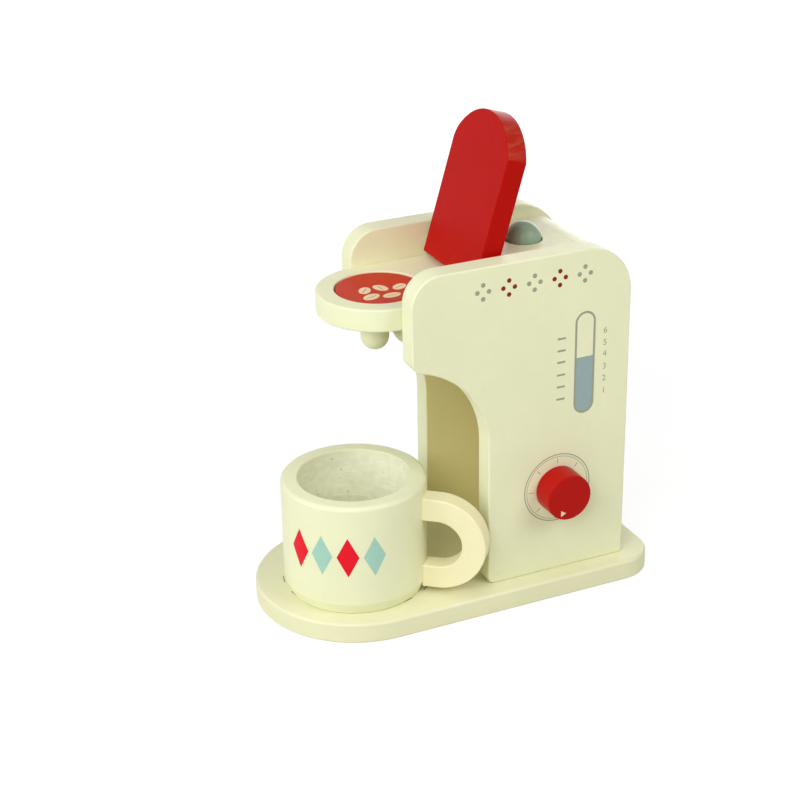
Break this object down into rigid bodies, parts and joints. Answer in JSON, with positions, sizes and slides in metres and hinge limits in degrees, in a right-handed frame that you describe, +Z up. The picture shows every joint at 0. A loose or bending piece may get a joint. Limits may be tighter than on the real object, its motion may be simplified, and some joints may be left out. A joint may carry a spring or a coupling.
{
  "type": "toy coffee maker",
  "caption": "Wooden toy coffee maker: side panels on a round-nosed base, tray with a loose coffee disc, hinged lid, press button, turning dial, paired spouts and a mug.",
  "frame": {"origin": "middle of the base board's flat underside", "axes": "+Z up out of the base; -Y to the front, where the base has its round nose and the mug stands; +X to the panel that carries the dial"},
  "size_m": [0.1129, 0.2106, 0.2562],
  "materials": {
    "cream_paint": "satin cream paint over smooth sanded wood, edges softly rounded",
    "red_paint": "satin red paint over smooth sanded wood",
    "sage_paint": "satin grey-green paint over a turned wooden dome",
    "bare_wood": "bare turned hardwood",
    "zinc_steel": "bright zinc plated steel",
    "spring_steel": "drawn steel spring wire"
  },
  "bodies": {
    "machine": {"base_board": "cream_paint", "left_side_panel": "cream_paint", "right_side_panel": "cream_paint", "back_board": "cream_paint", "brewing_tray": "cream_paint", "top_block": "cream_paint", "front_spout": "cream_paint", "rear_spout": "cream_paint", "lid_hinge_pin": "bare_wood", "lid_spacers": "bare_wood", "button_spring": "spring_steel", "board_dowels": "bare_wood", "foot_dowels": "bare_wood", "base_screws": "zinc_steel"},
    "lid": {"lid": "red_paint"},
    "button": {"start_button": "sage_paint", "button_washer": "zinc_steel", "button_screw": "zinc_steel"},
    "dial": {"dial_knob": "red_paint", "dial_washer": "zinc_steel", "dial_screw": "zinc_steel"},
    "disc": {"coffee_disc": "red_paint"},
    "mug": {"mug_body": "cream_paint", "mug_handle": "cream_paint", "mug_dowels": "bare_wood"}
  },
  "joints": [
    {"name": "lid_hinge", "type": "hinge", "parent": "machine", "child": "lid", "pos_m": [0, 0.01078, 0.1799], "axis": [1, 0, 0], "range_deg": [0, 108]},
    {"name": "button_press", "type": "slide", "parent": "machine", "child": "button", "axis": [0, 0, -1], "range_m": [0, 0.003], "stiffness_N_per_m": 400, "springref_m": -0.005, "deforming": ["button_spring"]},
    {"name": "dial_turn", "type": "hinge", "parent": "machine", "child": "dial", "pos_m": [0.058, 0.04668, 0.0604], "axis": [1, 0, 0], "continuous": true},
    {"name": "disc_lift", "type": "slide", "parent": "machine", "child": "disc", "axis": [0, 0, 1], "range_m": [0, 0.04]},
    {"name": "mug_take_out", "type": "slide", "parent": "machine", "child": "mug", "axis": [0, -0.8, 0.6], "range_m": [0, 0.12]}
  ]
}
